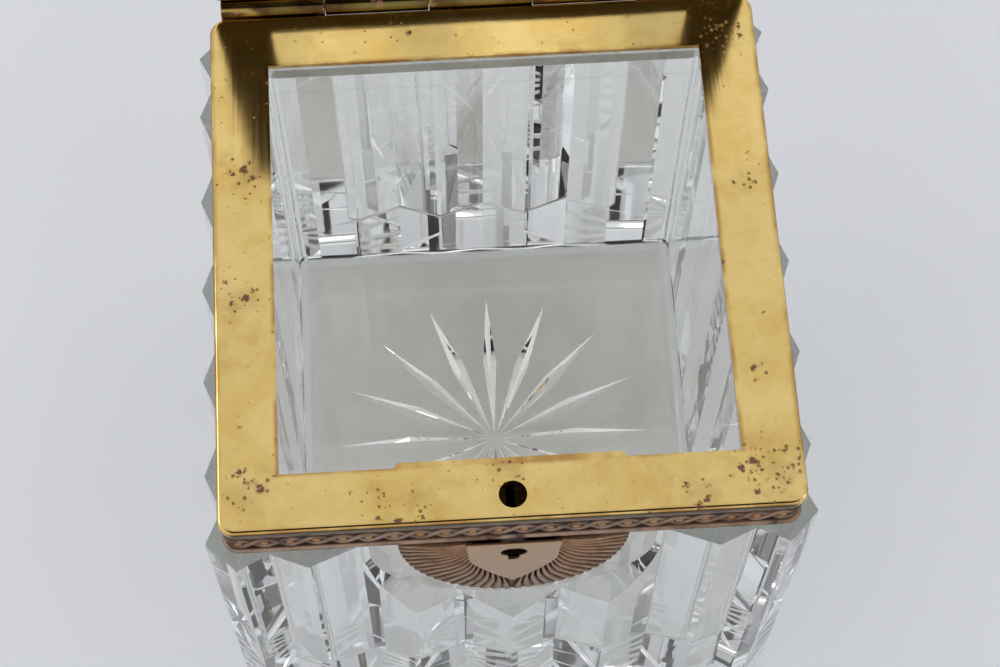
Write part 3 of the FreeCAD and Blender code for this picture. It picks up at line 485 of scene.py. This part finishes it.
MATERIALS = {
    "crystal": make_crystal(),
    "rim_brass": make_rim_brass("rim_brass", False),
    "bronze": make_bronze("bronze"),
    "escutcheon_bronze": make_escutcheon_bronze(),
    "hinge_brass": make_hinge_brass("hinge_brass", False),
    "lock_brass": make_plain_metal("lock_brass", colour(0.60, 0.44, 0.19), colour(0.40, 0.26, 0.11), 0.34),
    "steel": make_plain_metal("steel", colour(0.10, 0.095, 0.09), colour(0.04, 0.035, 0.03), 0.42),
    "cement": make_plain_metal("cement", colour(0.78, 0.75, 0.67), colour(0.66, 0.60, 0.48), 0.75, 0.0),
}
LID_MATERIALS = {
    "rim_brass": make_rim_brass("lid_rim_brass", True),
    "bronze": make_bronze("lid_bronze", True),
    "hinge_brass": make_hinge_brass("lid_hinge_brass", True),
}
PIN_STEEL = make_plain_metal("pin_steel", colour(0.012, 0.011, 0.01), colour(0.006, 0.005, 0.005), 0.8)


def material_for(node):
    """The look of a CAD node: its slot's, or the lid's own version of it. The drill pin is black."""
    if node == "lock_drill_pin":
        return PIN_STEEL
    choice = LID_MATERIALS if BODIES[node] == "lid" else MATERIALS
    return choice.get(SLOTS[node], MATERIALS[SLOTS[node]])


# ---------------------------------------------------------------- the stamped band

def square_stations(step):
    """Places round a square with rounded corners: middle of curvature, outward direction, run so far."""
    centre = RIM_REACH - CORNER
    radius = CORNER - BAND_SUNK
    places, run = [], 0.0
    straight = max(2, round(2 * centre / step))
    bend = 8
    for side in range(4):
        turn = Matrix.Rotation(side * math.pi / 2, 2)
        outward = turn @ Vector((0, -1))
        for i in range(straight):
            along = Vector((-centre + 2 * centre * i / straight, -centre))
            places.append((turn @ along, outward, run + 2 * centre * i / straight))
        run += 2 * centre
        for i in range(bend):
            angle = math.pi / 2 * i / bend
            heading = turn @ Vector((math.sin(angle), -math.cos(angle)))
            places.append((turn @ Vector((centre, -centre)), heading, run + radius * angle))
        run += radius * math.pi / 2
    return places, run


def half_round(distance, half):
    return np.sqrt(np.clip(1 - (distance / half) ** 2, 0, None))


def guilloche(run, height):
    """Relief of two strands that cross between round eyes, the rising one on top; and where the eyes are."""
    phase = math.pi * run / EYE_PITCH
    wave = STRAND_SWING * np.cos(phase)
    slope = -STRAND_SWING * math.pi / EYE_PITCH * np.sin(phase)
    lean = np.sqrt(1 + slope ** 2)
    crossing = 1 - np.abs(np.cos(phase))
    relief = np.zeros(np.broadcast(run, height).shape)
    for sign in (1, -1):
        off = np.abs(height - sign * wave) / lean
        strand = half_round(off, STRAND_HALF) - GROOVE_DEPTH * np.exp(-(off / STRAND_GROOVE) ** 2)
        under = np.where(sign * slope > 0, 0.0, STRAND_DIP * crossing)
        relief = np.maximum(relief, strand * (1 - under))
    off_eye = (run / EYE_PITCH - np.round(run / EYE_PITCH)) * EYE_PITCH
    reach = np.hypot(off_eye, height)
    eye = half_round(reach, EYE_RADIUS)
    return np.maximum(relief, EYE_HEIGHT * eye) * STRAND_HEIGHT, np.clip(1.6 * eye - 0.4, 0, 1)


def make_band_relief(name):
    """Band of the mount as one closed sheet: foot roll, guilloche row, bead and a plain fillet."""
    places, length = square_stations(BAND_STEP)
    eyes = round(length / EYE_PITCH)
    levels = np.arange(0, BAND_TOP - BAND_FOOT + 0.1 * MM, BAND_ROW)
    levels[-1] = BAND_TOP - BAND_FOOT
    middle = (ROLL_HEIGHT + BEAD_FOOT) / 2
    runs = np.array([run for _, _, run in places])[:, None] * (eyes * EYE_PITCH / length)
    rise = levels[None, :]
    roll = BAND_SUNK * half_round(rise - ROLL_HEIGHT / 2, ROLL_HEIGHT / 2)
    bead = BEAD_OUT * half_round(rise - BEAD_FOOT - BEAD_HEIGHT / 2, BEAD_HEIGHT / 2)
    pattern, eye = guilloche(runs, rise - middle)
    relief = np.maximum(pattern, np.maximum(roll, bead))
    plain = (rise > BEAD_FOOT + BEAD_HEIGHT) * FILLET_WEAR
    face = CORNER - BAND_SUNK
    verts, worn, amber = [], [], []
    rows = len(levels) + 2
    for i, (centre, heading, _) in enumerate(places):
        for j, level in enumerate(levels):
            at = centre + heading * (face + relief[i, j])
            verts.append((at.x, at.y, BAND_FOOT + level))
            worn.append(max(relief[i, j] / STRAND_HEIGHT, plain[0, j]))
            amber.append(eye[i, j])
        for level in (levels[-1], levels[0]):
            at = centre + heading * (face - BAND_THICK)
            verts.append((at.x, at.y, BAND_FOOT + level))
            worn.append(BACK_WEAR)
            amber.append(0)
    count = len(places)
    faces = []
    for i in range(count):
        far = (i + 1) % count
        for j in range(rows):
            above = (j + 1) % rows
            faces.append((i * rows + j, far * rows + j, far * rows + above, i * rows + above))
    piece = new_piece(name, verts, faces)
    paint(piece, "worn", worn)
    paint(piece, "amber", amber)
    tidy_normals(piece, 50)
    return piece


# ---------------------------------------------------------------- the apron

def shield_half(level):
    """Half the shield's width at a level: sides that taper a little, then a shallow point."""
    down = SHIELD_TOP - level
    if down < SHIELD_SQUARE:
        return SHIELD_REACH * (1 - SHIELD_TAPER * down / SHIELD_SQUARE)
    share = min(1.0, (down - SHIELD_SQUARE) / (SHIELD_TOP - SHIELD_TIP - SHIELD_SQUARE))
    return SHIELD_REACH * (1 - SHIELD_TAPER) * (1 - share ** SHIELD_BULGE)


def cad_shield_half(level):
    """The same for the CAD shield, whose point is made of two arcs."""
    down = SHIELD_TOP - level
    if down < SHIELD_SQUARE:
        return SHIELD_REACH
    point = SHIELD_TOP - SHIELD_TIP - SHIELD_SQUARE
    radius = (SHIELD_REACH ** 2 + point ** 2) / (2 * SHIELD_REACH)
    return SHIELD_REACH - radius + math.sqrt(max(0.0, radius ** 2 - (down - SHIELD_SQUARE) ** 2))


def shape_shield(piece):
    """Give the CAD shield the photographed outline, and take its top up to the band's foot."""
    for vert in piece.data.vertices:
        old = cad_shield_half(vert.co.z)
        if old > 0.05 * MM:
            vert.co.x *= shield_half(vert.co.z) / old
        if vert.co.z > SHIELD_TOP - 0.3 * MM:
            vert.co.z += BAND_FOOT - SHIELD_TOP - SHIELD_GAP
    return piece


def make_shield_bead():
    """Rounded bead along the shield's upper edge, under the band."""
    stations, ring, radius = 40, 12, 0.5 * MM
    reach = SHIELD_REACH - 0.1 * MM
    verts, faces = [], []
    for i in range(stations + 1):
        x = -reach + 2 * reach * i / stations
        left = min(1.0, (reach - abs(x)) / (0.6 * MM) + 0.2)
        for j in range(ring):
            angle = 2 * math.pi * j / ring
            verts.append((x, SHIELD_FACE + 0.4 * MM + radius * left * math.cos(angle),
                          SHIELD_TOP + 0.05 * MM + radius * left * math.sin(angle)))
    for i in range(stations):
        for j in range(ring):
            a, b = i * ring + j, i * ring + (j + 1) % ring
            faces.append((a, b, b + ring, a + ring))
    faces.append(tuple(range(ring)))
    faces.append(tuple(stations * ring + j for j in reversed(range(ring))))
    piece = new_piece("shield_bead", verts, faces)
    tidy_normals(piece, 60)
    return piece


def make_apron_relief():
    """Palmette: feathers that sweep from under the shield to a scalloped edge, on a flat sheet."""
    verts, faces, worn = [], [], []
    across, outward = 12, 28
    steps = APRON_FLUTES * across
    lift = APRON_BACK - APRON_SHEET
    for side in (1, -1):
        first = len(verts)
        for i in range(steps + 1):
            share = i / steps
            crown = abs(math.sin(math.pi * share * APRON_FLUTES))
            angle = math.pi / 2 * share ** TIP_CROWDING
            level = SHIELD_TOP - ROOT_INSET * (SHIELD_TOP - SHIELD_TIP) * share ** ROOT_CROWDING
            root = Vector((ROOT_INSET * shield_half(level), level - 0.2 * MM))
            rim = Vector((APRON_REACH * math.cos(angle),
                          APRON_TOP - (APRON_TOP - APRON_FOOT) * math.sin(angle)))
            run = rim - root
            rim = rim - run.normalized() * APRON_SCALLOP * (1 - crown ** 0.5)
            sweep = Vector((run.y, -run.x)) * APRON_CURL * math.sin(math.pi * share) ** 0.5
            for j in range(outward + 1):
                q = j / outward
                at = root.lerp(rim, q) + sweep * 4 * q * (1 - q)
                # A feather is fullest before its middle, drops at its tip, and is low along its sides.
                swell = 0.55 + 0.45 * math.sin(math.pi * min(1.0, 1.25 * q))
                tip = 1 - 0.6 * max(0.0, (q - 0.85) / 0.15) ** 2
                ridge = crown ** 0.7
                height = APRON_SWELL * swell * tip * (0.12 + 0.88 * ridge)
                verts.append((side * at.x, lift - height, min(at.y, APRON_TOP)))
                worn.append(min(1.0, max(0.0, 1.6 * ridge - 0.75)) * (0.35 + 0.65 * tip))
        back = len(verts)
        for i in range(steps + 1):
            for j in (0, outward):
                x, _, z = verts[first + i * (outward + 1) + j]
                verts.append((x, APRON_BACK, z))
                worn.append(0.2)
        for i in range(steps):
            for j in range(outward):
                a = first + i * (outward + 1) + j
                faces.append((a, a + 1, a + outward + 2, a + outward + 1))
            a = first + i * (outward + 1)
            b = back + 2 * i
            faces.append((b, b + 2, b + 3, b + 1))
            faces.append((a, a + outward + 1, b + 2, b))
            faces.append((a + outward, b + 1, b + 3, a + 2 * outward + 1))
        for i in (0, steps):
            a = first + i * (outward + 1)
            faces.append(tuple(range(a, a + outward + 1)) + (back + 2 * i + 1, back + 2 * i))
    piece = new_piece("apron_palmette", verts, faces)
    paint(piece, "worn", worn)
    paint(piece, "amber", [0.4 * share for share in worn])
    tidy_normals(piece, 60)
    return piece


def make_apron_sheet():
    """Flat sheet behind the feathers: the CAD apron, which has the keyhole, thinned towards its back."""
    piece = eased_copy("apron_sheet", "front_apron", 0.08 * MM)
    for vert in piece.data.vertices:
        vert.co.y = APRON_BACK + (vert.co.y - APRON_BACK) * APRON_SHEET / (APRON_BACK - APRON_FACE)
    paint(piece, "worn", [0.25] * len(piece.data.vertices))
    return piece


# ---------------------------------------------------------------- pieces

EASED = [
    # piece, the CAD node it stands for, width of the eased edge in millimetres
    ("crystal_body", "glass_body", 0.16),
    ("crystal_lid", "lid_glass", 0.16),
    ("rim_frame", "rim_plate", 0.12),
    ("lid_rim_frame", "lid_rim_plate", 0.12),
    ("lock_strip", "lock_selvedge", 0.12),
    ("lock_tray", "lock_case", 0.12),
    ("hinge_barrels_body", "hinge_knuckles_body", 0.18),
    ("hinge_barrels_lid", "hinge_knuckles_lid", 0.18),
    ("hinge_strip_body", "hinge_leaf_body", 0.1),
    ("hinge_strip_lid", "hinge_leaf_lid", 0.1),
    ("catch_stud", "lid_catch", 0.25),
]
for name, node, width in EASED:
    stand_for(eased_copy(name, node, width * MM), node)

stand_for(shape_shield(eased_copy("keyhole_shield", "shield_escutcheon", 0.22 * MM)), "shield_escutcheon")
stand_for(make_shield_bead(), "shield_escutcheon")
stand_for(make_band_relief("band_relief"), "rim_band")
stand_for(swing_open(make_band_relief("lid_band_relief")), "lid_band")
stand_for(make_apron_relief(), "front_apron")
stand_for(make_apron_sheet(), "front_apron")

for node in SLOTS:
    carried = frame["nodes"][node]
    carried.data.materials.clear()
    carried.data.materials.append(material_for(node))


# ---------------------------------------------------------------- floor, light and camera

PALE_WALLS = colour(0.78, 0.80, 0.84)
DIM_CEILING = colour(0.03, 0.03, 0.032)
CEILING_MIDDLE = (0.0, -0.17, 0.985)    # direction of the middle of the dim ceiling
CEILING_EDGE = (0.885, 0.955)           # cosines from it at which the pale walls end and the ceiling begins
THROUGH_GLASS = colour(0.55, 0.565, 0.60)
THROUGH_GLASS_SHARE = 0.15              # how much of that tone is mixed into what is seen through glass
GLASS_BOUNCES = 12                      # light turns back many times inside the cut crystal
FLOOR_GAP = 0.2 * MM
FLOOR_REACH = 3.0


def make_floor():
    look = Shading("floor")
    tone = look.mix(look.noise(3, detail=2), colour(0.90, 0.90, 0.905), colour(0.92, 0.92, 0.93))
    look.principled(Base_Color=tone, Roughness=0.6)
    corners = [(-FLOOR_REACH, -FLOOR_REACH), (FLOOR_REACH, -FLOOR_REACH),
               (FLOOR_REACH, FLOOR_REACH), (-FLOOR_REACH, FLOOR_REACH)]
    floor = new_piece("floor", [(x, y, -FLOOR_GAP) for x, y in corners], [(0, 1, 2, 3)])
    floor.data.materials.append(look.material)


def make_softbox(name, place, target, width, height, power, tone):
    data = bpy.data.lights.new(name, "AREA")
    data.shape = "RECTANGLE"
    data.size, data.size_y = width, height
    data.energy = power
    data.color = tone
    lamp = bpy.data.objects.new(name, data)
    lamp.location = place
    lamp.rotation_euler = (Vector(target) - Vector(place)).to_track_quat("-Z", "Y").to_euler()
    bpy.context.scene.collection.objects.link(lamp)


def make_world():
    """Pale studio with a dim ceiling, which fades a little where it is seen through glass."""
    world = bpy.data.worlds.new("studio")
    world.use_nodes = True
    tree = world.node_tree
    tree.nodes.clear()
    place = tree.nodes.new("ShaderNodeTexCoord")
    towards = tree.nodes.new("ShaderNodeVectorMath")
    towards.operation = "DOT_PRODUCT"
    towards.inputs[1].default_value = CEILING_MIDDLE
    ramp = tree.nodes.new("ShaderNodeValToRGB")
    sky = tree.nodes.new("ShaderNodeBackground")
    output = tree.nodes.new("ShaderNodeOutputWorld")
    for element, tone, cosine in zip(ramp.color_ramp.elements, (PALE_WALLS, DIM_CEILING), CEILING_EDGE):
        element.color = tone
        element.position = cosine
    path = tree.nodes.new("ShaderNodeLightPath")
    through = tree.nodes.new("ShaderNodeMath")
    through.operation = "GREATER_THAN"
    through.inputs[1].default_value = 0.5
    softer = tree.nodes.new("ShaderNodeMix")
    softer.data_type = "RGBA"
    softer.inputs[7].default_value = THROUGH_GLASS
    share = tree.nodes.new("ShaderNodeMath")
    share.operation = "MULTIPLY"
    share.inputs[1].default_value = THROUGH_GLASS_SHARE
    tree.links.new(path.outputs["Transmission Depth"], through.inputs[0])
    tree.links.new(through.outputs[0], share.inputs[0])
    tree.links.new(share.outputs[0], softer.inputs[0])
    tree.links.new(place.outputs["Generated"], towards.inputs[0])
    tree.links.new(towards.outputs["Value"], ramp.inputs[0])
    tree.links.new(ramp.outputs[0], softer.inputs[6])
    tree.links.new(softer.outputs[2], sky.inputs["Color"])
    sky.inputs["Strength"].default_value = 1.0
    tree.links.new(sky.outputs[0], output.inputs[0])
    bpy.context.scene.world = world


CAMERA_PLACE = (-15.1 * MM, -213.2 * MM, 572.1 * MM)
CAMERA_ELEVATION, CAMERA_YAW, CAMERA_ROLL = 66.78, -4.30, 0.93
CAMERA_LENS, CAMERA_SENSOR = 85.36, 36.0


def make_camera():
    data = bpy.data.cameras.new("camera")
    data.sensor_width = CAMERA_SENSOR
    data.lens = CAMERA_LENS
    data.clip_start = 0.01
    camera = bpy.data.objects.new("camera", data)
    turn = (Matrix.Rotation(math.radians(CAMERA_YAW), 4, "Z")
            @ Matrix.Rotation(math.radians(90 - CAMERA_ELEVATION), 4, "X")
            @ Matrix.Rotation(math.radians(CAMERA_ROLL), 4, "Z"))
    camera.matrix_world = Matrix.Translation(CAMERA_PLACE) @ turn
    bpy.context.scene.collection.objects.link(camera)
    bpy.context.scene.camera = camera


LAMPS = [
    # name, place, what it is aimed at, width and height in metres, watts, tone
    ("key", (-1.1, 0.3, 0.8), (0, 0, 0.06), 0.5, 0.5, 2.2, (1.0, 0.985, 0.96)),
    ("back", (0.02, 0.66, 1.15), (0, 0.05, 0.12), 0.62, 0.2, 0.05, (1.0, 0.99, 0.98)),
    ("left_window", (-0.06, 0.64, 1.12), (0, 0.05, 0.12), 0.07, 0.12, 0.016, (1.0, 1.0, 1.0)),
    ("right_window", (0.07, 0.64, 1.12), (0, 0.05, 0.12), 0.10, 0.12, 0.026, (1.0, 1.0, 1.0)),
    ("side", (1.2, -0.3, 0.6), (0, 0, 0.06), 0.3, 0.6, 1.0, (0.92, 0.96, 1.0)),
]

make_floor()
make_world()
for lamp in LAMPS:
    make_softbox(*lamp)
make_camera()

bpy.context.scene.view_settings.view_transform = "Standard"
paths = bpy.context.scene.cycles
paths.max_bounces = paths.transmission_bounces = 2 * GLASS_BOUNCES
paths.glossy_bounces = GLASS_BOUNCES
